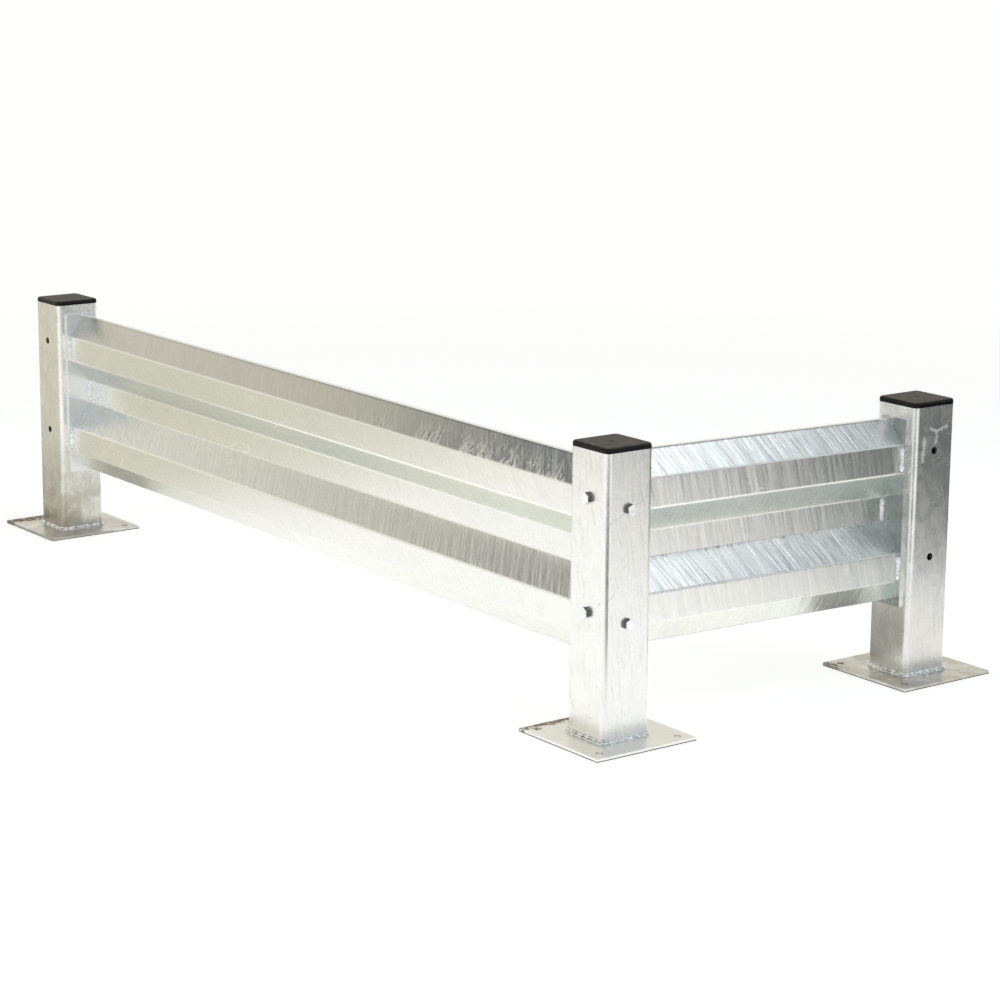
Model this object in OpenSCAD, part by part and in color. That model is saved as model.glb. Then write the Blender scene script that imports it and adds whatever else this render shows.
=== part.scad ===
// Heavy-duty modular safety barrier.
// Two folded sheet beams are bolted between three square posts that stand in an L.
// Millimetres, +Z up, with the origin on the floor under the middle of the corner post.
// The long bay runs from the corner along -X and the short bay along +Y.

/* [Bays] */
// Length of the folded beam in the long bay
long_beam_len = 1800; // [600:10:2400]
// Length of the folded beam in the short bay
short_beam_len = 600; // [400:10:1500]

/* [Posts] */
// Outside width of the square tube
post_w = 100; // [90:1:130]
// Wall of the square tube
post_wall = 5; // [3:0.5:6]
// Outside corner radius of the square tube
post_corner_r = 10; // [7:0.5:14]
// Length of the square tube
post_h = 500; // [450:5:800]

/* [Base plates] */
// Margin of the plate round the tube
plate_margin = 58; // [50:1:90]
// Thickness of the plate
plate_t = 6; // [5:0.5:15]
// Distance of each anchor hole from the plate's edges
anchor_edge = 23; // [18:0.5:30]
// Diameter of the anchor holes
anchor_d = 14; // [10:0.5:18]
// Leg of the fillet weld round the foot of the tube
foot_weld = 6; // [3:0.5:8]

/* [Caps] */
// Height of the cap above the tube
cap_h = 9.5; // [7:0.5:14]
// Rounding of the cap's upper edges
cap_edge_r = 4.5; // [2:0.5:6]
// Depth of the plug inside the tube
cap_plug_h = 24; // [16:1:35]
// Wall of the hollow plug
cap_plug_wall = 2.5; // [1.5:0.5:4]
// Number of grip fins round the plug
cap_fins = 3; // [2:1:4]
// Thickness of a grip fin
cap_fin_t = 1.6; // [1:0.2:2]
// How far the fins stand out from the plug
cap_fin_out = 2; // [1:0.5:3]
// Play between the fins and the tube's bore
cap_play = 0.1; // [0.05:0.05:0.5]
// Diameter of the moulding dimple on top
cap_dimple_d = 9; // [5:0.5:15]
// Depth of the moulding dimple
cap_dimple_h = 1.2; // [0.5:0.1:2]

/* [Beam section] */
// Thickness of the sheet
sheet_t = 3; // [2:0.5:4]
// Depth of the section from the front panels to the back of the valley
beam_depth = 50; // [40:1:56]
// Angle between the panels that slope into the valley and the upright ones
fold_angle = 43; // [40:1:55]
// Angle between the outer lips and the upright panels
lip_angle = 40; // [35:1:45]
// Height of each front panel between its folds
front_panel_h = 52; // [45:1:75]
// Height of the valley panel between its folds
valley_panel_h = 49; // [35:1:65]
// Height of each outer sloping lip
lip_h = 42; // [30:1:47]
// Width of the level flange behind each lip
flange_w = 10; // [9:0.5:14]
// Inside radius of the folds
bend_r = 4; // [4:0.5:8]
// Drop from the top of the tube to the top of the end plates
beam_drop = 23; // [10:1:50]

/* [End plates] */
// Thickness of the end plates
end_plate_t = 5; // [4:0.5:8]
// Margin of the end plate in front of and behind the section
end_plate_side = 6; // [4:0.5:10]
// Margin of the end plate above and below the section
end_plate_over = 4.5; // [1:0.5:8]
// Leg of the fillet welds between the upright panels and the end plate
beam_weld = 3.5; // [2:0.5:4]
// Travel of the bolts in the slots of the end plate
slot_travel = 18; // [16:0.5:24]

/* [Set heights] */
// Set of the long beam at the corner, above its nominal height
long_inner_set = -6; // [-8:0.5:8]
// Set of the long beam at its far post
long_outer_set = 3; // [-8:0.5:8]
// Set of the short beam at its far post
short_outer_set = 1; // [-8:0.5:8]
// Set of the short beam at the corner, where its bolts are lifted
short_inner_set = 13; // [10:0.5:20]

/* [Bolts] */
// Thread diameter
bolt_d = 12; // [10:1:14]
// Clearance of the bolt holes and slots over the thread
bolt_play = 2; // [1:0.5:3]
// Height between the two bolts of a joint
bolt_spacing = 198; // [170:1:210]
// Lift of the holes in one pair of faces, so that crossing bolts pass
bolt_lift = 17; // [16:1:22]
// Width across the flats of heads and nuts
hex_w = 18; // [17:0.5:22]
// Height of the heads
head_h = 7.5; // [6:0.5:9]
// Height of the nuts
nut_h = 10.5; // [8:0.5:12]
// Diameter of the washers
washer_d = 24; // [22:0.5:28]
// Thickness of the washers
washer_t = 2.5; // [1.5:0.5:3]
// Play of nuts and washers round the thread
thread_play = 0.2; // [0.1:0.1:0.6]
// Length of thread past the nut
bolt_past = 6; // [2:1:12]

/* [Hidden] */
$fn = 48;

// Flats in each fold of the sheet
bend_steps = 6;
// Slope of the chamfers on heads and nuts
hex_chamfer = 30;
// Overrun of cuts past the faces they open
cut_over = 1;

half_post = post_w / 2;
bore_w = post_w - 2 * post_wall;
bore_corner_r = max(post_corner_r - post_wall, 0.5);
plate_w = post_w + 2 * plate_margin;
anchor_reach = plate_w / 2 - anchor_edge;
post_top = plate_t + post_h;
bolt_hole_d = bolt_d + bolt_play;

// Section of the beam: depth along the first axis, front positive, and height from its middle
front = (beam_depth - sheet_t) / 2;
valley_fold = valley_panel_h / 2;
inner_fold = valley_fold + 2 * front / tan(fold_angle);
outer_fold = inner_fold + front_panel_h;
lip_fold = outer_fold + lip_h;
lip_depth = front - lip_h * tan(lip_angle);
section_h = 2 * lip_fold + sheet_t;
fold_points = [
    [lip_depth - flange_w, lip_fold],
    [lip_depth, lip_fold],
    [front, outer_fold],
    [front, inner_fold],
    [-front, valley_fold],
    [-front, -valley_fold],
    [front, -inner_fold],
    [front, -outer_fold],
    [lip_depth, -lip_fold],
    [lip_depth - flange_w, -lip_fold]
];
mid_bend_r = bend_r + sheet_t / 2;
bend_run = mid_bend_r * tan(max(fold_angle, lip_angle) / 2);

end_plate_w = beam_depth + 2 * end_plate_side;
end_plate_h = section_h + 2 * end_plate_over;
beam_mid = post_top - beam_drop - end_plate_h / 2;
bolt_levels = [beam_mid + bolt_spacing / 2, beam_mid - bolt_spacing / 2];
bolt_names = ["upper", "lower"];
bolt_len = post_w + end_plate_t + washer_t + nut_h + bolt_past;

function pitch(beam_len) = beam_len + 2 * end_plate_t + post_w;

// Posts: name, place and turn
posts = [
    ["corner", [0, 0], 0],
    ["long_end", [-pitch(long_beam_len), 0], 0],
    ["short_end", [0, pitch(short_beam_len)], 90]
];

// Bays: name, place of the post where the bay starts, heading, length of beam and set of both its ends
bays = [
    ["long", [0, 0], 180, long_beam_len, [long_inner_set, long_outer_set]],
    ["short", [0, pitch(short_beam_len)], -90, short_beam_len, [short_outer_set, short_inner_set]]
];

// Bolted ends: name, bay, whether it is at the far end of the bay, lift of its bolts and its set
ends = [
    ["long_inner", bays[0], false, 0, long_inner_set],
    ["long_outer", bays[0], true, 0, long_outer_set],
    ["short_outer", bays[1], false, 0, short_outer_set],
    ["short_inner", bays[1], true, bolt_lift, short_inner_set]
];

// Angle of a line, and the unit vectors along it and to its left
function heading(p, q) = atan2(q[1] - p[1], q[0] - p[0]);
function along(angle) = [cos(angle), sin(angle)];
function left_of(angle) = [-sin(angle), cos(angle)];
function turn(a, b) = b - a > 180 ? b - a - 360 : b - a < -180 ? b - a + 360 : b - a;

// Points of the folded sheet at a distance to the front of its middle surface, fold by fold
function fold_arc(i, out) =
    let (
        before = heading(fold_points[i - 1], fold_points[i]),
        bend = turn(before, heading(fold_points[i], fold_points[i + 1])),
        side = sign(bend),
        back_up = mid_bend_r * tan(abs(bend) / 2),
        centre = fold_points[i] - along(before) * back_up + left_of(before) * mid_bend_r * side
    )
    [for (k = [0 : bend_steps]) centre + left_of(before + bend * k / bend_steps) * (out - side * mid_bend_r)];

function sheet_line(out) =
    let (
        last = len(fold_points) - 1,
        first_turn = heading(fold_points[0], fold_points[1]),
        last_turn = heading(fold_points[last - 1], fold_points[last])
    )
    concat(
        [fold_points[0] + left_of(first_turn) * out],
        [for (i = [1 : last - 1]) each fold_arc(i, out)],
        [fold_points[last] + left_of(last_turn) * out]
    );

function reversed(list) = [for (i = [len(list) - 1 : -1 : 0]) list[i]];

module rounded_square(w, r) {
    square([w, w - 2 * r], center = true);
    square([w - 2 * r, w], center = true);
    for (x = [-1, 1], y = [-1, 1])
        translate([x, y] * (w / 2 - r)) circle(r);
}

// Hexagon along +Z with its outer corners turned down at the far end, and at the near end if both is set
module chamfered_hex(h, both) {
    corner_r = hex_w / 2 / cos(30);
    drop = (corner_r - hex_w / 2) * tan(hex_chamfer);
    intersection() {
        cylinder(r = corner_r, h = h, $fn = 6);
        rotate_extrude()
            polygon([
                [0, 0],
                [both ? hex_w / 2 : corner_r, 0],
                [corner_r, both ? drop : 0],
                [corner_r, h - drop],
                [hex_w / 2, h],
                [0, h]
            ]);
    }
}

module at_post(p) {
    translate(p[1]) rotate(p[2]) children();
}

// In a bay the beam runs along +X from the post it starts at, with its front towards +Y
module in_bay(bay) {
    translate(bay[1]) rotate(bay[2]) children();
}

// The far end of a bay is the near end mirrored
module at_end(e) {
    in_bay(e[1])
        translate([e[2] ? pitch(e[1][3]) : 0, 0, 0])
            mirror([e[2] ? 1 : 0, 0, 0])
                children();
}

// Square tube with a pair of low holes along X and a pair of lifted holes along Y
module post() {
    color("gainsboro")
    difference() {
        translate([0, 0, plate_t])
            linear_extrude(post_h)
                difference() {
                    rounded_square(post_w, post_corner_r);
                    rounded_square(bore_w, bore_corner_r);
                }
        for (z = bolt_levels) {
            translate([-half_post - cut_over, 0, z])
                rotate([0, 90, 0])
                    cylinder(d = bolt_hole_d, h = post_w + 2 * cut_over);
            translate([0, half_post + cut_over, z + bolt_lift])
                rotate([90, 0, 0])
                    cylinder(d = bolt_hole_d, h = post_w + 2 * cut_over);
        }
    }
}

module base_plate() {
    color("lightgray")
    difference() {
        translate([-plate_w / 2, -plate_w / 2, 0])
            cube([plate_w, plate_w, plate_t]);
        for (x = [-1, 1], y = [-1, 1])
            translate([x * anchor_reach, y * anchor_reach, -cut_over])
                cylinder(d = anchor_d, h = plate_t + 2 * cut_over);
    }
}

// Fillet weld that runs round the foot of the tube on the plate
module foot_weld() {
    flat = post_w - 2 * post_corner_r;
    color("whitesmoke")
    translate([0, 0, plate_t])
        for (side = [0 : 3]) rotate(90 * side) {
            translate([half_post, flat / 2, 0])
                rotate([90, 0, 0])
                    linear_extrude(flat)
                        polygon([[0, 0], [foot_weld, 0], [0, foot_weld]]);
            translate([flat / 2, flat / 2, 0])
                rotate_extrude(angle = 90)
                    translate([post_corner_r, 0])
                        polygon([[0, 0], [foot_weld, 0], [0, foot_weld]]);
        }
}

// Moulded insert: a round-edged top that closes the tube, on a hollow plug with grip fins
module cap() {
    plug_w = bore_w - 2 * (cap_fin_out + cap_play);
    plug_r = max(bore_corner_r - cap_fin_out - cap_play, 0.5);
    fin_w = bore_w - 2 * cap_play;
    fin_r = max(bore_corner_r - cap_play, 0.5);
    fin_pitch = cap_plug_h / cap_fins;
    color("#26262a")
    translate([0, 0, post_top]) {
        difference() {
            cap_top();
            translate([0, 0, cap_h - cap_dimple_h])
                cylinder(d1 = cap_dimple_d / 2, d2 = cap_dimple_d, h = cap_dimple_h);
        }
        translate([0, 0, -cap_plug_h])
            linear_extrude(cap_plug_h)
                difference() {
                    rounded_square(plug_w, plug_r);
                    rounded_square(plug_w - 2 * cap_plug_wall, plug_r);
                }
        for (i = [0 : cap_fins - 1])
            translate([0, 0, -cap_plug_h + i * fin_pitch])
                linear_extrude(cap_fin_t)
                    difference() {
                        rounded_square(fin_w, fin_r);
                        rounded_square(plug_w - 2 * cap_plug_wall, plug_r);
                    }
    }
}

// Top of the cap, flush with the tube, with its upper edges rounded
module cap_top() {
    edge = min(cap_edge_r, post_corner_r - 0.5, cap_h - 0.5);
    hull()
        for (x = [-1, 1], y = [-1, 1])
            translate([x, y, 0] * (half_post - post_corner_r))
                rotate_extrude($fn = 32) {
                    square([post_corner_r, cap_h - edge]);
                    square([post_corner_r - edge, cap_h]);
                    intersection() {
                        translate([post_corner_r - edge, cap_h - edge]) circle(edge, $fn = 32);
                        square([post_corner_r, cap_h]);
                    }
                }
}

// Folded sheet of one bay, which follows the sets of its ends and is cut off at the end plates
module beam(beam_len, sets) {
    tilt = atan2(sets[1] - sets[0], beam_len);
    spare = section_h * tan(abs(tilt)) + cut_over;
    color("silver")
    translate([half_post + end_plate_t, 0, beam_mid])
        intersection() {
            translate([0, 0, sets[0]])
                rotate([0, -tilt, 0])
                    translate([-spare, 0, 0])
                        rotate([90, 0, 90])
                            linear_extrude(beam_len / cos(tilt) + 2 * spare)
                                polygon(concat(sheet_line(sheet_t / 2), reversed(sheet_line(-sheet_t / 2))));
            translate([0, -end_plate_w, -section_h])
                cube([beam_len, 2 * end_plate_w, 2 * section_h]);
        }
}

// Plate that closes the beam, with slots that let it be set to the low or the lifted holes of a post
module end_plate(set) {
    color("lightsteelblue")
    translate([half_post, 0, beam_mid + set])
        difference() {
            translate([0, -end_plate_w / 2, -end_plate_h / 2])
                cube([end_plate_t, end_plate_w, end_plate_h]);
            for (side = [-1, 1])
                translate([-cut_over, 0, side * bolt_spacing / 2]) {
                    for (stop = [-1, 1])
                        translate([0, 0, stop * slot_travel / 2])
                            rotate([0, 90, 0])
                                cylinder(d = bolt_hole_d, h = end_plate_t + 2 * cut_over);
                    translate([0, -bolt_hole_d / 2, -slot_travel / 2])
                        cube([end_plate_t + 2 * cut_over, bolt_hole_d, slot_travel]);
                }
        }
}

// Fillet welds along the flats of the three upright panels
module end_weld(set) {
    front_mid = (inner_fold + outer_fold) / 2;
    color("whitesmoke")
    translate([half_post + end_plate_t, 0, beam_mid + set]) {
        for (side = [-1, 1])
            translate([0, front, side * front_mid]) panel_weld(front_panel_h);
        translate([0, -front, 0]) panel_weld(valley_panel_h);
    }
}

// Weld on the front of one upright panel, from bend to bend
module panel_weld(panel_h) {
    weld_len = panel_h - 2 * bend_run;
    translate([0, sheet_t / 2, -weld_len / 2])
        linear_extrude(weld_len)
            polygon([[0, 0], [beam_weld, 0], [0, beam_weld]]);
}

// Hexagon bolt through the post and the end plate, with its head on the post's outer face
module bolt(level, lift) {
    color("silver")
    translate([-half_post, 0, level + lift]) {
        rotate([0, -90, 0]) chamfered_hex(head_h, false);
        rotate([0, 90, 0]) cylinder(d = bolt_d, h = bolt_len);
    }
}

module nut(level, lift) {
    color("silver")
    translate([half_post + end_plate_t + washer_t, 0, level + lift])
        rotate([0, 90, 0])
            difference() {
                chamfered_hex(nut_h, true);
                translate([0, 0, -cut_over])
                    cylinder(d = bolt_d + thread_play, h = nut_h + 2 * cut_over);
            }
}

// The two washers of a joint
module washers(lift) {
    color("gainsboro")
    for (z = bolt_levels)
        translate([half_post + end_plate_t, 0, z + lift])
            rotate([0, 90, 0])
                difference() {
                    cylinder(d = washer_d, h = washer_t);
                    translate([0, 0, -cut_over])
                        cylinder(d = bolt_d + thread_play, h = washer_t + 2 * cut_over);
                }
}

for (p = posts) {
    at_post(p) post();
    at_post(p) base_plate();
    at_post(p) foot_weld();
    at_post(p) cap();
}

for (b = bays) {
    in_bay(b) beam(b[3], b[4]);
}

for (e = ends) {
    at_end(e) end_plate(e[4]);
    at_end(e) end_weld(e[4]);
    at_end(e) washers(e[3]);
    for (i = [0, 1]) {
        at_end(e) bolt(bolt_levels[i], e[3]);
        at_end(e) nut(bolt_levels[i], e[3]);
    }
}
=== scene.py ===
# Heavy-duty safety barrier: materials, weld beads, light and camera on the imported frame.
import math
import random
import bpy
from mathutils import Matrix, Vector


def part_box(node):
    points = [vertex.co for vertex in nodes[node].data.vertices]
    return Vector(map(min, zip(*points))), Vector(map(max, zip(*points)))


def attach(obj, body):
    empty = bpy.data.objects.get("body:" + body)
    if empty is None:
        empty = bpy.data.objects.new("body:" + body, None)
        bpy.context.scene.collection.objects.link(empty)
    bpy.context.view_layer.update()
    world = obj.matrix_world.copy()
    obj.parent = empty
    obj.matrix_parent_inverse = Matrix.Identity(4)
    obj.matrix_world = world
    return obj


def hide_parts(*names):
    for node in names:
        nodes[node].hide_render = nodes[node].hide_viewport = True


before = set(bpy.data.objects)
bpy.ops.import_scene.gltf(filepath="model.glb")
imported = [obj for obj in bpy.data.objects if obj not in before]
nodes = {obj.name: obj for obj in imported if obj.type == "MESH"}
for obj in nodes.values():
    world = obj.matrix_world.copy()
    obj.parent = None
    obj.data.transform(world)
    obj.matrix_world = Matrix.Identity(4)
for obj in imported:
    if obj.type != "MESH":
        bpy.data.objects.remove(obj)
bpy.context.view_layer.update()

X = Vector((1, 0, 0))
Y = Vector((0, 1, 0))
UP = Vector((0, 0, 1))


def middle(node_name):
    low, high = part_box(node_name)
    return (low + high) / 2


# Posts and plates, in metres, from the frame. The tube's corner is as in the part's source.
POST_PLACES = {post: middle(post + "_post").xy for post in ("corner", "long_end", "short_end")}
POST_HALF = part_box("corner_post")[1].x
POST_CORNER = 0.010
PLATE_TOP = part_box("corner_base_plate")[1].z

# Section of the beams, in metres, as in the part's source
SHEET = 0.003
FRONT_PANEL = 0.052
VALLEY_PANEL = 0.049
FOLD_ANGLE = math.radians(43)
FRONT_FACE = -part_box("long_beam")[0].y
VALLEY_FACE = SHEET - FRONT_FACE

# Heights of the folds above the middle of a beam, and the room that a change between panels takes
VALLEY_FOLD = VALLEY_PANEL / 2
INNER_FOLD = VALLEY_FOLD + (FRONT_FACE - VALLEY_FACE) / math.tan(FOLD_ANGLE)
OUTER_FOLD = INNER_FOLD + FRONT_PANEL
FRONT_MIDDLE = (INNER_FOLD + OUTER_FOLD) / 2
CHANGE = 0.010

# Weld beads, in metres, with the wobble's rate in radians per metre.
# An end bead is shorter than its panel, which bends away at both edges.
BEAD_INSET = 0.0043
FRONT_BEAD = FRONT_PANEL - BEAD_INSET
VALLEY_BEAD = VALLEY_PANEL - BEAD_INSET
FOOT_LEG = 0.0062
FOOT_PITCH = 0.0085
FOOT_WOBBLE = 0.0005
WOBBLE_RATE = 310.0
END_LEG = 0.0052
END_PITCH = 0.0075
BEAD_SINK = 0.0006
FOOT_STEPS = 360
END_STEPS = 44
ARC_POINTS = 7

# Streaks of zinc on the beams: width and length in metres
BROAD_STREAK = (0.020, 0.16)
FINE_STREAK = (0.0046, 0.07)
HAIR_STREAK = (0.0017, 0.05)

# Spots on the beams: length, height and depth in metres
CLOUD = (0.24, 0.16, 0.10)
PATCH = (0.10, 0.05, 0.05)
CLUMP = (0.060, 0.10, 0.10)
CURL = (0.016, 0.030, 0.030)
DROP = (0.007, 0.02, 0.02)
SCRATCH = (0.11, 0.07, 0.07)

# Height of the crinkles on the dull lip, and size of the mottling on tubes and plates, in metres
CRINKLE_RISE = 0.040
MOTTLE = 0.045

# Marks that fade between two distances from a fold or two heights above the floor, in metres
CREASE_FADE = (0.0042, 0.0012)
FOLD_FADE = (0.0035, 0.001)
LOW_DARK_FADE = (0.26, 0.03)
CONTACT_SHADOW_FADE = (0.0022, 0.0012)

# Edges that turn by more than this shade sharp
SHARP_ANGLE = math.radians(32)

# Colours of the beams
SHEET_COOL = (0.92, 0.92, 0.89)
SHEET_WARM = (0.955, 0.945, 0.905)
UNDER_SHADE_FAR = (0.52, 0.57, 0.52)
UNDER_SHADE_NEAR = (0.80, 0.85, 0.79)
LOW_LIP_SHADE = (0.93, 0.93, 0.86)
SHADED_END = (0.58, 0.62, 0.60)
LIP_SHADE_FAR = (0.50, 0.475, 0.40)
LIP_SHADE_NEAR = (0.38, 0.40, 0.405)
CRINKLE_GLINT = (0.97, 0.97, 0.96)
PALE_STREAK = (0.98, 0.98, 0.97)
GREY_PATCH = (0.60, 0.62, 0.63)
DARK_HAIR = (0.36, 0.39, 0.43)
CREASE_HIGHLIGHT = (1.0, 1.0, 0.96)
FOLD_DIRT = (0.34, 0.35, 0.35)
WHITE = (1.0, 1.0, 1.0)
BLACK = (0.0, 0.0, 0.0)

# Colours of tubes and plates
ZINC_HIGH = (0.975, 0.965, 0.935)
PLATE_LOW = (0.86, 0.86, 0.82)
PLATE_HIGH = (0.95, 0.94, 0.90)
PALE_STROKE = (0.98, 0.975, 0.95)
DARK_STROKE = (0.62, 0.63, 0.62)
DARK_SPOT = (0.58, 0.59, 0.58)
DARK_SCRATCH = (0.45, 0.45, 0.43)
LOW_DARK_TONE = (0.45, 0.42, 0.35)
RUST = (0.24, 0.145, 0.07)
ZINC_RUN = (0.76, 0.75, 0.70)
EDGE_HIGHLIGHT = (0.97, 0.97, 0.95)
CONTACT_SHADOW = (0.10, 0.095, 0.08)

# Colours of welds, fasteners and caps
WELD_DARK = (0.64, 0.66, 0.69)
WELD_PALE = (0.97, 0.97, 0.96)
ZINC_WORN = (0.82, 0.84, 0.85)
ZINC_BRIGHT = (0.96, 0.96, 0.95)
FASTENER_SIDE_SHADE = (0.24, 0.25, 0.26)
DUST_DARK = (0.050, 0.041, 0.030)
DUST_PALE = (0.110, 0.088, 0.062)
PLASTIC_CLEAN = (0.005, 0.005, 0.005)
PLASTIC_SCUFFED = (0.012, 0.011, 0.010)

# Camera from the perspective of the photograph
EYE = (3.62117, -2.93637, 1.46392)
HEADING = 53.26
PITCH = 12.72
ROLL = 0.47
LENS = 102.3
SENSOR = 36.0
CLIP_END = 200.0


class Tree:
    """Adds shader nodes to a material or a world, with place as the texture space."""

    def __init__(self, node_tree, space):
        self.nodes = node_tree.nodes
        self.links = node_tree.links
        self.place = self.add("ShaderNodeTexCoord").outputs[space]

    def add(self, kind, **settings):
        node = self.nodes.new(kind)
        for key, value in settings.items():
            setattr(node, key, value)
        return node

    def feed(self, socket, value):
        if isinstance(value, bpy.types.NodeSocket):
            self.links.new(value, socket)
        else:
            socket.default_value = value

    def math(self, operation, first, second=0.0, clamp=False):
        node = self.add("ShaderNodeMath", operation=operation, use_clamp=clamp)
        self.feed(node.inputs[0], first)
        self.feed(node.inputs[1], second)
        return node.outputs[0]

    def times(self, first, *others):
        """Product of two or more values."""
        product = first
        for other in others:
            product = self.math("MULTIPLY", product, other)
        return product

    def off(self, value, centre):
        """How far a value is from a centre."""
        return self.math("ABSOLUTE", self.math("SUBTRACT", value, centre))

    def vector(self, operation, first, second=(0, 0, 0)):
        """Result of a vector node: a number from a product, length or distance, or else a vector."""
        node = self.add("ShaderNodeVectorMath", operation=operation)
        self.feed(node.inputs[0], first)
        self.feed(node.inputs[1], second)
        gives_number = operation in ("DOT_PRODUCT", "LENGTH", "DISTANCE")
        return node.outputs["Value" if gives_number else "Vector"]

    def along(self, direction):
        """Distance along a direction, multiplied by the direction's length."""
        return self.vector("DOT_PRODUCT", self.place, direction)

    def spread(self, first, second, third):
        """Texture space from three directions, each as long as its frequency per metre."""
        node = self.add("ShaderNodeCombineXYZ")
        for socket, direction in zip(node.inputs, (first, second, third)):
            self.feed(socket, self.along(direction))
        return node.outputs[0]

    def noise(self, vector, scale=1.0, detail=3.0, roughness=0.55, distortion=0.0):
        node = self.add("ShaderNodeTexNoise")
        self.feed(node.inputs["Vector"], vector)
        self.feed(node.inputs["Scale"], scale)
        self.feed(node.inputs["Detail"], detail)
        self.feed(node.inputs["Roughness"], roughness)
        self.feed(node.inputs["Distortion"], distortion)
        return node.outputs["Fac"]

    def span(self, value, low, high, bottom=0.0, top=1.0):
        """Runs smoothly from bottom to top as the value goes from low to high."""
        node = self.add("ShaderNodeMapRange", interpolation_type="SMOOTHSTEP")
        self.feed(node.inputs["Value"], value)
        self.feed(node.inputs["From Min"], low)
        self.feed(node.inputs["From Max"], high)
        self.feed(node.inputs["To Min"], bottom)
        self.feed(node.inputs["To Max"], top)
        return node.outputs["Result"]

    def mix(self, factor, first, second):
        """Colour between two colours."""
        node = self.add("ShaderNodeMix", data_type="RGBA", blend_type="MIX")
        self.feed(node.inputs["Factor"], factor)
        self.feed(node.inputs["A"], colour(first))
        self.feed(node.inputs["B"], colour(second))
        return node.outputs["Result"]

    def blend(self, factor, first, second):
        """Number between two numbers."""
        node = self.add("ShaderNodeMix", data_type="FLOAT")
        self.feed(node.inputs["Factor"], factor)
        self.feed(node.inputs["A"], first)
        self.feed(node.inputs["B"], second)
        return node.outputs["Result"]


class Paint(Tree):
    """Node tree of one material."""

    def __init__(self, name):
        self.material = bpy.data.materials.new(name)
        self.material.use_nodes = True
        super().__init__(self.material.node_tree, "Object")
        self.shader = self.nodes["Principled BSDF"]

    def set(self, name, value):
        self.feed(self.shader.inputs[name], value)

    def bump(self, height, distance, strength=1.0, normal=None):
        node = self.add("ShaderNodeBump")
        self.feed(node.inputs["Height"], height)
        self.feed(node.inputs["Distance"], distance)
        self.feed(node.inputs["Strength"], strength)
        if normal is not None:
            self.feed(node.inputs["Normal"], normal)
        return node.outputs["Normal"]

    def facing(self, direction):
        """How far the surface faces a direction: 1 where it faces there, 0 where it stands square."""
        normal = self.add("ShaderNodeNewGeometry").outputs["True Normal"]
        return self.vector("DOT_PRODUCT", normal, direction)

    def scratches(self, vector, where):
        """Sparse thin lines, found where a smooth noise crosses its middle."""
        wave = self.noise(vector, detail=0.5, distortion=0.4)
        return self.times(self.span(self.off(wave, 0.5), 0.006, 0.001), self.span(where, 0.54, 0.62))

    def stain(self, centre, radii):
        """Ragged patches inside an ellipsoid."""
        away = self.vector("SUBTRACT", self.place, centre)
        share = self.vector("LENGTH", self.vector("DIVIDE", away, radii))
        inside = self.span(share, 1.0, 0.1, 0.0, 0.28)
        ragged = self.noise(self.place, scale=115.0, detail=6.0, roughness=0.72)
        return self.span(self.math("ADD", inside, ragged), 0.64, 0.74)

    def line(self, start, end, width):
        """Ragged line between two points."""
        start = Vector(start)
        run = Vector(end) - start
        away = self.vector("SUBTRACT", self.place, start)
        gap = self.vector("LENGTH", self.vector("CROSS_PRODUCT", away, run.normalized()))
        ragged = self.noise(self.place, scale=0.9 / width, detail=3.0)
        reach = self.times(self.span(ragged, 0.30, 0.62, 0.2, 1.3), width)
        across = self.span(self.math("DIVIDE", gap, reach), 1.0, 0.1)
        step = run / run.length_squared
        share = self.math("SUBTRACT", self.along(step), start.dot(step))
        return self.times(across, self.span(self.off(share, 0.5), 0.56, 0.48))


def colour(value):
    if isinstance(value, bpy.types.NodeSocket):
        return value
    return (*value, 1.0)


def beam_level(paint, run, ends):
    """Height above the middle of a beam, which follows the set of its two end plates."""
    near, far = [middle(end + "_end_plate") for end in ends]
    slope = (far.z - near.z) / (far - near).dot(run)
    start = near.z - slope * near.dot(run)
    return paint.math("SUBTRACT", paint.along(UP - slope * run), start)


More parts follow.
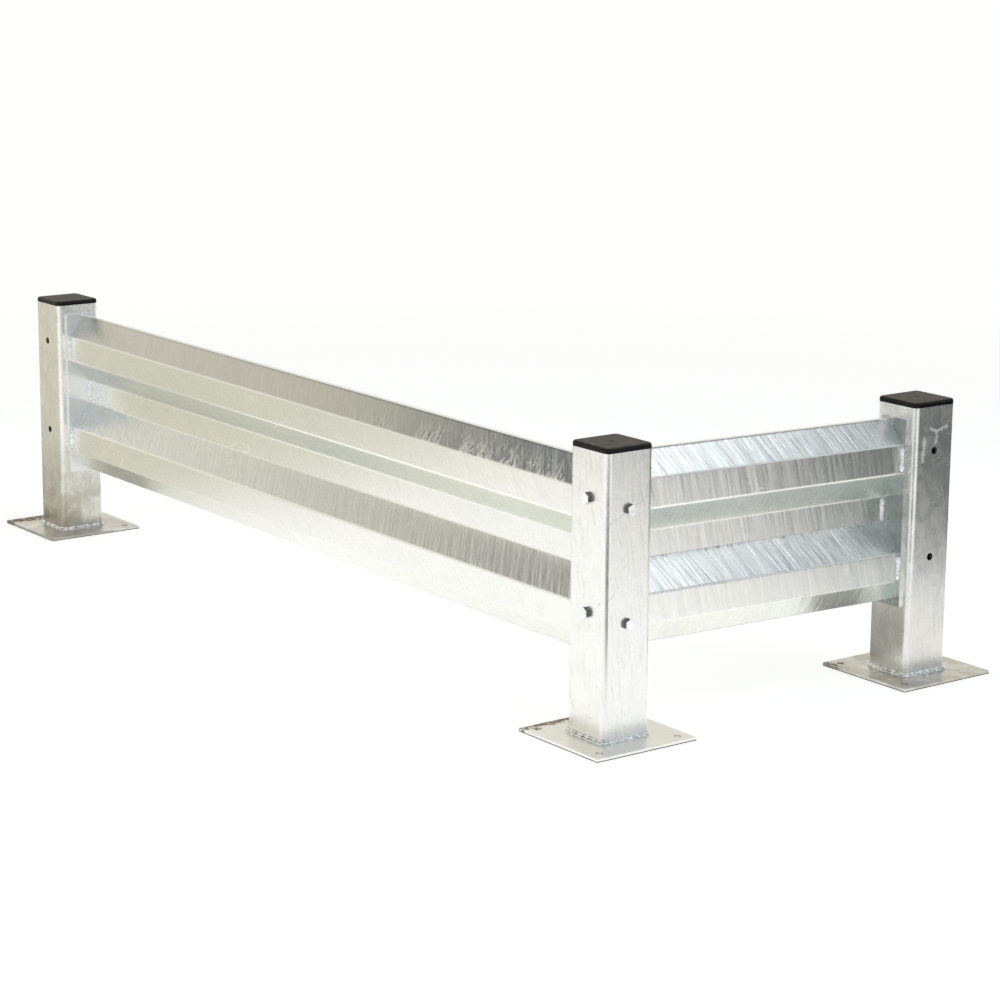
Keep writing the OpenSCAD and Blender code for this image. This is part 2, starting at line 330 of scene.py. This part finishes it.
def sheet_paint(
        name, run, out, ends, slants, upright_life, slope_life, lip_shade, fold_marks,
        lip_turns=None, streaks_from=None, end_shade=None):
    """Galvanised sheet with zinc streaks: run goes along the beam and out to its front.

    Streaks have one slant and one strength, or life, on upright panels and one on sloping ones.
    The last three are stretches along run: where the painted shade on the lip deepens,
    where streaks set in and where painted shade darkens the panels towards the end.
    """
    upright_slant, slope_slant = slants
    paint = Paint(name)

    # Where the panels are
    level = beam_level(paint, run, ends)
    rise = paint.facing(UP)
    upper = paint.span(rise, 0.2, 0.5)
    lower = paint.span(rise, -0.2, -0.5)
    above_front = paint.span(level, FRONT_MIDDLE - CHANGE, FRONT_MIDDLE + CHANGE)
    below_front = paint.span(level, -FRONT_MIDDLE + CHANGE, -FRONT_MIDDLE - CHANGE)
    under = paint.times(lower, paint.span(level, -CHANGE, CHANGE))
    low_lip = paint.times(lower, below_front)
    lip = paint.times(upper, above_front, paint.span(rise, 0.97, 0.90))
    shaded_lip = paint.times(lip, lip_shade)
    near = paint.span(paint.along(run), *lip_turns) if lip_turns else 1.0
    streaky = paint.span(paint.along(run), *streaks_from) if streaks_from else 1.0

    def streaks(slant, width, length, detail):
        across = run * math.cos(slant) + UP * math.sin(slant)
        down = run * math.sin(slant) - UP * math.cos(slant)
        space = paint.spread(across / width, down / length, out / length)
        return paint.noise(space, detail=detail, distortion=0.2)

    def by_panel(size, detail):
        flat = streaks(upright_slant, *size, detail)
        slope = streaks(slope_slant, *size, detail)
        return paint.blend(upper, flat, slope)

    def cells(size):
        length, height, depth = size
        return paint.spread(run / length, UP / height, out / depth)

    # Textures
    broad = by_panel(BROAD_STREAK, 2.0)
    fine = by_panel(FINE_STREAK, 3.0)
    hair = by_panel(HAIR_STREAK, 2.0)
    cloud = paint.noise(cells(CLOUD), detail=3.0)
    patch = paint.noise(cells(PATCH), detail=4.0, distortion=0.5)
    clump = paint.noise(cells(CLUMP), detail=4.0)
    curl = paint.noise(cells(CURL), detail=2.0, distortion=1.2)
    drops = paint.noise(cells(DROP), detail=4.0, roughness=0.7)
    grain = paint.noise(paint.place, scale=420.0, detail=2.0)
    scratch = paint.scratches(cells(SCRATCH), cloud)

    # How strongly the streaks show
    lively = paint.math("SUBTRACT", 1.0, paint.times(under, 0.85))
    lively = paint.times(lively, paint.span(cloud, 0.30, 0.62, 0.45, 1.0))
    lively = paint.times(lively, paint.blend(upper, upright_life, slope_life))
    lively = paint.times(lively, paint.blend(streaky, 0.25, 1.0))

    def marks(value, low, high, share):
        return paint.times(paint.span(value, low, high), lively, share)

    # Colour of each panel
    tone = paint.mix(paint.span(cloud, 0.35, 0.68), SHEET_COOL, SHEET_WARM)
    # Painted shade on the down-facing panel above the middle, deeper away from the corner on the long
    # beam
    tone = paint.mix(paint.times(under, 0.75), tone, paint.mix(near, UNDER_SHADE_FAR, UNDER_SHADE_NEAR))
    # Pale cream painted shade on the down-facing lower lip
    tone = paint.mix(paint.times(low_lip, 0.8), tone, LOW_LIP_SHADE)
    if end_shade:
        shaded = paint.times(paint.span(paint.along(run), *end_shade), paint.blend(upper, 0.6, 0.0))
        tone = paint.mix(shaded, tone, SHADED_END)
    # Painted shade on the top lip, darkest near the corner
    lip_shade_share = paint.times(shaded_lip, paint.blend(near, 0.56, 1.0))
    tone = paint.mix(lip_shade_share, tone, paint.mix(near, LIP_SHADE_FAR, LIP_SHADE_NEAR))

    # Crinkles low on the shaded lip: bumps, with painted glints along pale threads
    crinkled = paint.span(level, OUTER_FOLD + CRINKLE_RISE, OUTER_FOLD, 0.10, 1.0)
    crinkled = paint.times(crinkled, paint.span(clump, 0.41, 0.53), shaded_lip, near)
    threads = paint.span(paint.off(curl, 0.5), 0.10, 0.02, 0.15, 1.0)
    tone = paint.mix(paint.times(crinkled, threads), tone, CRINKLE_GLINT)

    # Streaks, patches and hairlines
    tone = paint.mix(marks(broad, 0.46, 0.62, paint.blend(shaded_lip, 0.8, 0.25)), tone, PALE_STREAK)
    tone = paint.mix(marks(patch, 0.52, 0.70, 0.35), tone, GREY_PATCH)
    hair_share = paint.blend(shaded_lip, paint.blend(upper, 0.14, 0.62), 0.35)
    tone = paint.mix(marks(hair, 0.55, 0.72, hair_share), tone, DARK_HAIR)

    # Painted highlights along the creases above, and dashes of dirt along the fold below the valley
    for crease in (VALLEY_FOLD, INNER_FOLD):
        crease_highlight = paint.span(paint.off(level, crease), *CREASE_FADE)
        tone = paint.mix(paint.times(crease_highlight, 0.85), tone, CREASE_HIGHLIGHT)
    fold = paint.span(paint.off(level, -VALLEY_FOLD), *FOLD_FADE)
    dashes = paint.times(fold, paint.span(drops, 0.48, 0.62), paint.span(patch, 0.40, 0.56, 0.2, 1.0))
    tone = paint.mix(paint.times(dashes, fold_marks), tone, FOLD_DIRT)
    tone = paint.mix(paint.times(scratch, 0.7), tone, WHITE)

    paint.set("Base Color", tone)
    paint.set("Metallic", 0.94)
    rough = paint.math("ADD", 0.20, paint.times(fine, 0.16))
    paint.set("Roughness", paint.math("ADD", rough, paint.times(scratch, 0.2)))
    waves = paint.blend(shaded_lip, paint.blend(upper, 1.7, 0.9), 0.4)
    normal = paint.bump(broad, 0.0012, paint.times(lively, waves))
    normal = paint.bump(fine, 0.00046, lively, normal)
    normal = paint.bump(patch, 0.0014, paint.times(lively, 0.5), normal)
    normal = paint.bump(drops, 0.0010, paint.times(fold, fold_marks), normal)
    normal = paint.bump(curl, 0.0034, crinkled, normal)
    paint.set("Normal", paint.bump(grain, 0.00005, 0.2, normal))
    return paint.material


def steel_paint(
        name, tone_low, tone_high, rough=0.26, runs=1.0, metal=0.94,
        low_dark=0.0, rust=(), lines=(), edge_highlight=None, contact_shadow=False):
    """Galvanised tube or plate with soft mottling, runs of zinc, a darker brown tone low down and rust.

    Each rust patch has a centre and radii, and each line a start, an end and a width.
    """
    paint = Paint(name)
    height = paint.along(UP)

    def strands(first, second, third, **settings):
        return paint.noise(paint.spread(first, second, third), detail=3.0, **settings)

    # Textures, drawn out along slanting directions and downwards
    mottle = paint.noise(paint.place, scale=1.0 / MOTTLE, detail=5.0, roughness=0.62, distortion=0.8)
    spot = paint.noise(paint.place, scale=4.5 / MOTTLE, detail=3.0, roughness=0.6)
    strokes = strands((150, 60, 26), (-40, 160, 18), (7, 5, 14), distortion=0.3)
    drips = strands((62, 0, 0), (0, 62, 0), (0, 0, 6), distortion=0.5)
    grain = paint.noise(paint.place, scale=480.0, detail=2.0)
    scratch = paint.scratches(paint.spread((9, 5, 3), (-4, 9, 2), (2, 3, 8)), mottle)

    tone = paint.mix(paint.span(mottle, 0.28, 0.72), tone_low, tone_high)
    tone = paint.mix(paint.times(paint.span(strokes, 0.54, 0.70), 0.35), tone, PALE_STROKE)
    tone = paint.mix(paint.times(paint.span(strokes, 0.46, 0.32), 0.30), tone, DARK_STROKE)
    tone = paint.mix(paint.times(paint.span(spot, 0.60, 0.74), 0.16), tone, DARK_SPOT)
    tone = paint.mix(paint.times(paint.span(drips, 0.56, 0.66), 0.30 * runs), tone, PALE_STREAK)
    tone = paint.mix(paint.times(scratch, 0.5), tone, DARK_SCRATCH)
    # Darker and browner towards the floor
    if low_dark:
        low_down = paint.span(height, *LOW_DARK_FADE)
        low_dark_share = paint.times(low_down, paint.span(mottle, 0.30, 0.62, 0.35, 1.0), low_dark)
        tone = paint.mix(low_dark_share, tone, LOW_DARK_TONE)
    rough_here = paint.math("ADD", rough - 0.06, paint.times(mottle, 0.14))
    for centre, radii in rust:
        stain = paint.stain(centre, radii)
        tone = paint.mix(paint.times(stain, 0.85), tone, RUST)
        rough_here = paint.math("ADD", rough_here, paint.times(stain, 0.35))
        metal = paint.math("SUBTRACT", metal, paint.times(stain, 0.8), clamp=True)
    for start, end, width in lines:
        line = paint.line(start, end, width)
        tone = paint.mix(paint.times(line, 0.5), tone, ZINC_RUN)
        rough_here = paint.math("ADD", rough_here, paint.times(line, 0.2))
        metal = paint.math("SUBTRACT", metal, paint.times(line, 0.4), clamp=True)
    # Painted highlight on the faces that look along this axis, the plate's thin side edges
    if edge_highlight:
        edge = paint.span(paint.math("ABSOLUTE", paint.facing(edge_highlight)), 0.5, 0.8)
        tone = paint.mix(edge, tone, EDGE_HIGHLIGHT)
    # Painted contact shadow: a dark line along the bottom edge, just above the floor
    if contact_shadow:
        tone = paint.mix(paint.span(height, *CONTACT_SHADOW_FADE), tone, CONTACT_SHADOW)

    paint.set("Base Color", tone)
    paint.set("Metallic", metal)
    paint.set("Roughness", rough_here)
    normal = paint.bump(mottle, 0.0012, 0.28)
    normal = paint.bump(drips, 0.0008, 0.35 * runs, normal)
    normal = paint.bump(strokes, 0.00025, 0.6, normal)
    paint.set("Normal", paint.bump(grain, 0.00005, 0.25, normal))
    return paint.material


def weld_paint(name):
    """Lumpy galvanised weld metal."""
    paint = Paint(name)
    lumps = paint.noise(paint.place, scale=160.0, detail=3.0)
    paint.set("Base Color", paint.mix(paint.span(lumps, 0.35, 0.65), WELD_DARK, WELD_PALE))
    paint.set("Metallic", 0.95)
    paint.set("Roughness", paint.math("ADD", 0.16, paint.times(lumps, 0.2)))
    paint.set("Normal", paint.bump(lumps, 0.0006, 0.5))
    return paint.material


def zinc_paint(name, axis):
    """Zinc on bolts, nuts and washers along an axis, with painted shade on the sides of the hexagons."""
    paint = Paint(name)
    grain = paint.noise(paint.place, scale=420.0, detail=3.0)
    wear = paint.noise(paint.place, scale=130.0, detail=2.0)
    zinc = paint.mix(paint.span(wear, 0.35, 0.65), ZINC_WORN, ZINC_BRIGHT)
    end_on = paint.span(paint.math("ABSOLUTE", paint.facing(axis)), 0.3, 0.7)
    paint.set("Base Color", paint.mix(end_on, FASTENER_SIDE_SHADE, zinc))
    paint.set("Metallic", 1.0)
    paint.set("Roughness", paint.math("ADD", 0.05, paint.times(grain, 0.12)))
    paint.set("Normal", paint.bump(grain, 0.00008, 0.5))
    return paint.material


def plastic_paint(name):
    """Black plastic with brown dust on top."""
    paint = Paint(name)
    grain = paint.noise(paint.place, scale=1500.0, detail=2.0)
    scuff = paint.noise(paint.place, scale=60.0, detail=4.0)
    top = paint.span(paint.facing(UP), 0.6, 0.95)
    dust = paint.mix(paint.span(scuff, 0.35, 0.7), DUST_DARK, DUST_PALE)
    black = paint.mix(paint.span(scuff, 0.4, 0.7), PLASTIC_CLEAN, PLASTIC_SCUFFED)
    paint.set("Base Color", paint.mix(top, black, dust))
    paint.set("Roughness", paint.math("ADD", paint.blend(top, 0.12, 0.42), paint.times(scuff, 0.2)))
    paint.set("Specular IOR Level", 0.2)
    paint.set("Normal", paint.bump(grain, 0.00004, 0.6))
    return paint.material


def new_mesh(name, points, faces, smooth=True):
    mesh = bpy.data.meshes.new(name)
    mesh.from_pydata(points, [], faces)
    mesh.validate()
    mesh.update()
    if smooth:
        mesh.shade_smooth()
    piece = bpy.data.objects.new(name, mesh)
    bpy.context.scene.collection.objects.link(piece)
    return piece


def swept(rings, closed):
    """Points and faces of a sweep through rings of equal length, with end faces where it is open."""
    count = len(rings[0])
    points = [point for ring in rings for point in ring]
    faces = []
    steps = len(rings) if closed else len(rings) - 1
    for i in range(steps):
        first = i * count
        second = (i + 1) % len(rings) * count
        for k in range(count):
            after = (k + 1) % count
            faces.append((first + k, second + k, second + after, first + after))
    if not closed:
        faces.append(tuple(range(count)))
        last = (len(rings) - 1) * count
        faces.append(tuple(last + k for k in reversed(range(count))))
    return points, faces


def bead_ring(corner, side, up, leg, swell):
    """Section of a fillet bead: side and up lead away from the corner along its two faces."""
    ring = [corner - side * BEAD_SINK - up * BEAD_SINK]
    reach = leg * (1.0 + swell)
    for k in range(ARC_POINTS):
        angle = math.pi / 2 * k / (ARC_POINTS - 1)
        # The section is flatter than a quarter of a circle
        bulge = 0.62 + 0.38 * abs(math.cos(2 * angle))
        point = corner + (side * math.cos(angle) + up * math.sin(angle)) * reach * bulge
        if k == 0:
            point -= up * BEAD_SINK
        if k == ARC_POINTS - 1:
            point -= side * BEAD_SINK
        ring.append(point)
    return ring


def ripple(rng, length, pitch):
    """Swell along a bead: overlapping lumps of uneven size."""
    lumps = []
    place = 0.0
    while place < length + pitch:
        lumps.append((place, rng.uniform(-0.12, 0.22), pitch * rng.uniform(0.8, 1.2)))
        place += pitch * rng.uniform(0.75, 1.25)

    def swell(at):
        best = -0.22
        for centre, height, width in lumps:
            gap = abs(at - centre) / width
            if gap < 1.0:
                best = max(best, height - 0.42 * gap * gap)
        return best

    return swell


def foot_bead(post, seed):
    """Weld bead round the foot of a post."""
    rng = random.Random(seed)
    place = Vector((*POST_PLACES[post], PLATE_TOP))
    flat = 2 * (POST_HALF - POST_CORNER)
    turn = POST_CORNER * math.pi / 2
    length = 4 * (flat + turn)
    swell = ripple(rng, length, FOOT_PITCH)
    rings = []
    for i in range(FOOT_STEPS):
        at = length * i / FOOT_STEPS
        side = int(at / (flat + turn)) % 4
        rest = at - side * (flat + turn)
        if rest < flat:
            local = Vector((POST_HALF, -flat / 2 + rest, 0))
            out = X
        else:
            angle = (rest - flat) / POST_CORNER
            out = Vector((math.cos(angle), math.sin(angle), 0))
            local = Vector((flat / 2, flat / 2, 0)) + out * POST_CORNER
        spin = Matrix.Rotation(math.pi / 2 * side, 3, "Z")
        wobble = FOOT_WOBBLE * math.sin(at * WOBBLE_RATE + seed)
        corner = place + spin @ local + spin @ out * wobble
        rings.append(bead_ring(corner, spin @ out, UP, FOOT_LEG, swell(at)))
    points, faces = swept(rings, True)
    return new_mesh(post + "_foot_bead", points, faces)


def end_beads(end, out, into, seed):
    """Weld beads on the three upright panels at one end of a beam.

    out leads to the beam's front, and into leads from the end plate along the beam.
    """
    rng = random.Random(seed)
    low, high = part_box(end + "_end_weld")
    wall = max(corner.dot(into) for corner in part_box(end + "_end_plate"))
    panels = (
        (FRONT_FACE, high.z - FRONT_BEAD / 2, FRONT_BEAD),
        (VALLEY_FACE, (high.z + low.z) / 2, VALLEY_BEAD),
        (FRONT_FACE, low.z + FRONT_BEAD / 2, FRONT_BEAD),
    )
    points = []
    faces = []
    for depth, centre, length in panels:
        swell = ripple(rng, length, END_PITCH)
        rings = []
        for i in range(END_STEPS + 1):
            at = length * i / END_STEPS
            # The bead thins out towards both ends
            taper = min(1.0, 0.45 + 6 * min(i, END_STEPS - i) / END_STEPS)
            corner = out * depth + into * wall + UP * (centre - length / 2 + at)
            rings.append(bead_ring(corner, out, into, END_LEG * taper, swell(at)))
        bead_points, bead_faces = swept(rings, False)
        start = len(points)
        points.extend(bead_points)
        faces.extend(tuple(start + k for k in face) for face in bead_faces)
    return new_mesh(end + "_end_bead", points, faces)


def smooth_nodes():
    """Bends shade round and flat faces stay flat."""
    for node in nodes.values():
        mesh = node.data
        mesh.shade_smooth()
        mesh.set_sharp_from_angle(angle=SHARP_ANGLE)
        weigh = node.modifiers.new("face_weight", "WEIGHTED_NORMAL")
        weigh.keep_sharp = True
        weigh.weight = 100


def give(node, material):
    node.data.materials.clear()
    node.data.materials.append(material)


smooth_nodes()

# Materials of the beams
sheets = {
    "long_beam": sheet_paint(
        "long_sheet", run=X, out=-Y, ends=("long_inner", "long_outer"),
        slants=(math.radians(44), math.radians(46)), upright_life=0.50, slope_life=0.95,
        lip_shade=0.95, fold_marks=0.12, lip_turns=(-0.9, -0.2), streaks_from=(-0.65, -0.1)),
    "short_beam": sheet_paint(
        "short_sheet", run=Y, out=X, ends=("short_inner", "short_outer"),
        slants=(math.radians(13), math.radians(22)), upright_life=0.55, slope_life=1.0,
        lip_shade=0.0, fold_marks=0.8, end_shade=(0.25, 0.70)),
}


def zinc_run(corners, width):
    """Lines through points on the +X side of a post, given by place along the side and height."""
    points = [(POST_HALF, along, height) for along, height in corners]
    return [(start, end, width) for start, end in zip(points, points[1:])]


# Rust is given by centre and radii, from the middle of the post's foot
POST_FINISH = {
    "corner": {
        "tone": (0.90, 0.895, 0.865),
        "runs": 0.4,
        "low_dark": 0.05,
        "rust": [((-0.048, -0.050, 0.075), (0.009, 0.009, 0.055))],
        "lines": zinc_run([(0.050, 0.4315), (-0.045, 0.385)], 0.0013),
        "plate_low_dark": 0.0,
        "plate_rust": [((-0.102, -0.04, PLATE_TOP), (0.024, 0.16, 0.02))],
    },
    "long_end": {
        "tone": (0.86, 0.855, 0.82),
        "runs": 1.0,
        "low_dark": 0.95,
        "rust": [((-0.048, -0.050, 0.10), (0.008, 0.008, 0.07))],
        "lines": zinc_run([(0.036, 0.08), (-0.02, 0.15)], 0.0012),
        "plate_low_dark": 0.60,
        "plate_rust": [((-0.095, -0.06, PLATE_TOP), (0.045, 0.13, 0.02))],
    },
    "short_end": {
        "tone": (0.76, 0.775, 0.765),
        "runs": 1.0,
        "low_dark": 0.20,
        "rust": [],
        "lines":
            zinc_run([(-0.013, 0.466), (0.005, 0.4595), (0.031, 0.467)], 0.0045)
            + zinc_run([(0.005, 0.460), (0.004, 0.436)], 0.005)
            + zinc_run([(-0.026, 0.450), (-0.029, 0.405)], 0.006),
        "plate_low_dark": 0.80,
        "plate_rust": [((-0.095, -0.103, PLATE_TOP), (0.05, 0.012, 0.01))],
    },
}

# Materials of posts, plates, welds, fasteners and caps
tubes = {}
plates = {}
for post, finish in POST_FINISH.items():
    foot = Vector((*POST_PLACES[post], 0))
    rust = [(foot + Vector(centre), radii) for centre, radii in finish["rust"]]
    plate_rust = [(foot + Vector(centre), radii) for centre, radii in finish["plate_rust"]]
    lines = [(foot + Vector(start), foot + Vector(end), width) for start, end, width in finish["lines"]]
    tubes[post] = steel_paint(
        post + "_tube", finish["tone"], ZINC_HIGH, runs=finish["runs"],
        low_dark=finish["low_dark"], rust=rust, lines=lines)
    plates[post] = steel_paint(
        post + "_plate", PLATE_LOW, PLATE_HIGH, rough=0.28, runs=0.3,
        low_dark=finish["plate_low_dark"], rust=plate_rust, contact_shadow=True)
end_plates = {
    "long": steel_paint(
        "long_end_plates", tone_low=(0.86, 0.89, 0.90), tone_high=(0.96, 0.965, 0.96),
        rough=0.18, metal=0.6, edge_highlight=Y),
    "short": steel_paint(
        "short_end_plates", tone_low=(0.40, 0.45, 0.44), tone_high=(0.62, 0.67, 0.66),
        rough=0.18, edge_highlight=X),
}
weld = weld_paint("galvanised_weld")
fasteners = {
    "long": zinc_paint("long_fasteners", X),
    "short": zinc_paint("short_fasteners", Y),
}
plastic = plastic_paint("black_plastic")
for node_name, node in nodes.items():
    bay = node_name.split("_")[0]
    if node_name in sheets:
        give(node, sheets[node_name])
    elif node_name.endswith("_post"):
        give(node, tubes[node_name.removesuffix("_post")])
    elif node_name.endswith("_base_plate"):
        give(node, plates[node_name.removesuffix("_base_plate")])
    elif node_name.endswith("_cap"):
        give(node, plastic)
    elif node_name.endswith("_end_plate"):
        give(node, end_plates[bay])
    elif node_name.endswith("_weld"):
        give(node, weld)
    else:
        give(node, fasteners[bay])

# Weld beads, with the directions to the beam's front and from the end plate along the beam
BEAD_SIDES = {
    "long_inner": (-Y, -X),
    "long_outer": (-Y, X),
    "short_outer": (X, -Y),
    "short_inner": (X, Y),
}
for seed, post in enumerate(POST_PLACES):
    bead = foot_bead(post, seed + 3)
    give(bead, weld)
    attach(bead, "root")
    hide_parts(post + "_foot_weld")
for seed, (end, (out, into)) in enumerate(BEAD_SIDES.items()):
    bead = end_beads(end, out, into, seed + 11)
    give(bead, weld)
    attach(bead, "root")
    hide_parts(end + "_end_weld")

# Floor: white to the camera and in reflections, and it keeps the object's shadow
FLOOR_REACH = 60.0
FLOOR_MIDDLE = (-0.8, 0.2, 0.0)
SHADOW_REACH = 2.2


def flat_card(name, low, high, height=0.0):
    corners = [(low[0], low[1]), (high[0], low[1]), (high[0], high[1]), (low[0], high[1])]
    points = [(x, y, height) for x, y in corners]
    return new_mesh(name, points, [(0, 1, 2, 3)], smooth=False)


def floor_paint():
    paint = Paint("pale_floor")
    rays = paint.add("ShaderNodeLightPath").outputs
    seen = paint.math("MAXIMUM", rays["Is Camera Ray"], rays["Is Transmission Ray"])
    seen = paint.math("MAXIMUM", seen, rays["Is Glossy Ray"])
    away = paint.vector("DISTANCE", paint.place, FLOOR_MIDDLE)
    far = paint.span(away, SHADOW_REACH, 2 * SHADOW_REACH)
    paint.set("Base Color", paint.mix(far, (0.80, 0.80, 0.79), BLACK))
    paint.set("Roughness", 0.9)
    paint.set("Specular IOR Level", 0.0)
    paint.set("Emission Color", colour((1.0, 1.0, 0.985)))
    close = paint.blend(rays["Is Glossy Ray"], 0.56, 0.60)
    paint.set("Emission Strength", paint.times(seen, paint.blend(far, close, 1.0)))
    return paint.material


floor = flat_card("floor", (-FLOOR_REACH, -FLOOR_REACH), (FLOOR_REACH, FLOOR_REACH))
give(floor, floor_paint())

# Studio floor beyond the white paper, and a painted floor shadow inside the corner; they only show in
# reflections
PAPER = (0.985, 0.98, 0.955)
CARD_HEIGHT = 0.002


def studio_card(name, low, high, axis, near, far, far_tone, height=CARD_HEIGHT):
    """Card that turns from paper to another tone between two distances along an axis."""
    card = flat_card(name, low, high, height)
    paint = Paint(name)
    tone = paint.mix(paint.span(paint.along(axis), near, far), PAPER, far_tone)
    paint.set("Base Color", colour(BLACK))
    paint.set("Specular IOR Level", 0.0)
    paint.set("Emission Color", tone)
    paint.set("Emission Strength", 1.0)
    give(card, paint.material)
    card.visible_camera = False
    card.visible_diffuse = False
    card.visible_shadow = False
    card.visible_transmission = False


studio_card(
    "left_floor", low=(-9.0, -6.0), high=(-1.7, -0.14),
    axis=X, near=-1.7, far=-2.35, far_tone=(0.63, 0.61, 0.50))
studio_card(
    "right_floor", low=(0.1, 0.65), high=(7.0, 7.0),
    axis=(-0.3, 1, 0), near=0.5, far=1.6, far_tone=(0.05, 0.055, 0.055))
studio_card(
    "right_near", low=(0.06, 0.66), high=(0.64, 1.5),
    axis=(1, 1, 0), near=1.5, far=2.25, far_tone=(0.30, 0.30, 0.29), height=1.5 * CARD_HEIGHT)
studio_card(
    "left_near", low=(-2.9, -0.14), high=(-1.2, 0.05),
    axis=X, near=-1.2, far=-2.1, far_tone=(0.46, 0.45, 0.38))
studio_card(
    "front_floor", low=(0.45, -1.5), high=(2.2, 0.05),
    axis=X, near=0.45, far=0.7, far_tone=(0.10, 0.105, 0.10))
# Painted shadow on the floor inside the corner: a dark card that only shows in reflections
studio_card(
    "inner_floor_shadow", low=(-1.3, 0.07), high=(-0.07, 0.9),
    axis=X, near=-1.3, far=-0.4, far_tone=(0.36, 0.35, 0.31))


def world_light():
    """White behind the object. In reflections the room gets darker upwards and low at the back right."""
    world = bpy.data.worlds.new("studio")
    bpy.context.scene.world = world
    world.use_nodes = True
    world.node_tree.nodes.clear()
    tree = Tree(world.node_tree, "Generated")

    height = tree.along(UP)
    side = tree.span(tree.along(X), -0.7, 0.7)
    low_room = tree.mix(side, (0.92, 0.90, 0.82), (0.86, 0.90, 0.93))
    wall = tree.mix(side, (0.85, 0.83, 0.74), (0.55, 0.60, 0.64))
    ceiling = tree.mix(side, (0.13, 0.135, 0.135), (0.30, 0.33, 0.36))
    tone = tree.mix(tree.span(height, 0.22, 0.44), low_room, wall)
    tone = tree.mix(tree.span(height, 0.51, 0.585), tone, ceiling)
    tone = tree.mix(tree.span(height, 0.75, 1.0), tone, (0.40, 0.41, 0.43))
    back_right = tree.span(tree.along((0.80, 0.60, 0.0)), 0.55, 0.88)
    tone = tree.mix(tree.times(back_right, tree.span(height, 0.16, 0.04)), tone, (0.12, 0.125, 0.125))

    room = tree.add("ShaderNodeBackground")
    tree.feed(room.inputs["Color"], tone)
    white = tree.add("ShaderNodeBackground")
    tree.feed(white.inputs["Color"], colour((1.0, 1.0, 0.99)))
    choice = tree.add("ShaderNodeMixShader")
    tree.feed(choice.inputs[0], tree.add("ShaderNodeLightPath").outputs["Is Camera Ray"])
    tree.feed(choice.inputs[1], room.outputs[0])
    tree.feed(choice.inputs[2], white.outputs[0])
    output = tree.add("ShaderNodeOutputWorld")
    tree.feed(output.inputs["Surface"], choice.outputs[0])


def lamp(name, place, target, size, power, tint):
    light = bpy.data.lights.new(name, "AREA")
    light.shape = "RECTANGLE"
    light.size = size[0]
    light.size_y = size[1]
    light.energy = power
    light.color = tint
    holder = bpy.data.objects.new(name, light)
    bpy.context.scene.collection.objects.link(holder)
    holder.location = place
    aim = Vector(target) - Vector(place)
    holder.rotation_euler = aim.to_track_quat("-Z", "Y").to_euler()


world_light()
lamp(
    "sky_box", place=(1.25, 1.65, 3.0), target=(0.0, 0.2, 0.4),
    size=(1.6, 1.4), power=10.4, tint=(0.88, 0.95, 1.0))
lamp(
    "front_box", place=(-0.9, -3.4, 2.8), target=(-0.8, 0.0, 0.2),
    size=(3.2, 1.6), power=17.0, tint=(1.0, 0.98, 0.94))
lamp(
    "top_box", place=(-0.9, 0.2, 3.6), target=(-0.9, 0.2, 0.0),
    size=(2.6, 1.6), power=15.0, tint=WHITE)


def camera():
    lens = bpy.data.cameras.new("camera")
    lens.sensor_width = SENSOR
    lens.lens = LENS
    lens.clip_end = CLIP_END
    holder = bpy.data.objects.new("camera", lens)
    bpy.context.scene.collection.objects.link(holder)
    turn = Matrix.Rotation(math.radians(HEADING), 4, "Z")
    nod = Matrix.Rotation(math.radians(90.0 - PITCH), 4, "X")
    roll = Matrix.Rotation(math.radians(ROLL), 4, "Z")
    holder.matrix_world = Matrix.Translation(EYE) @ turn @ nod @ roll
    bpy.context.scene.camera = holder


camera()
bpy.context.scene.view_settings.view_transform = "Standard"
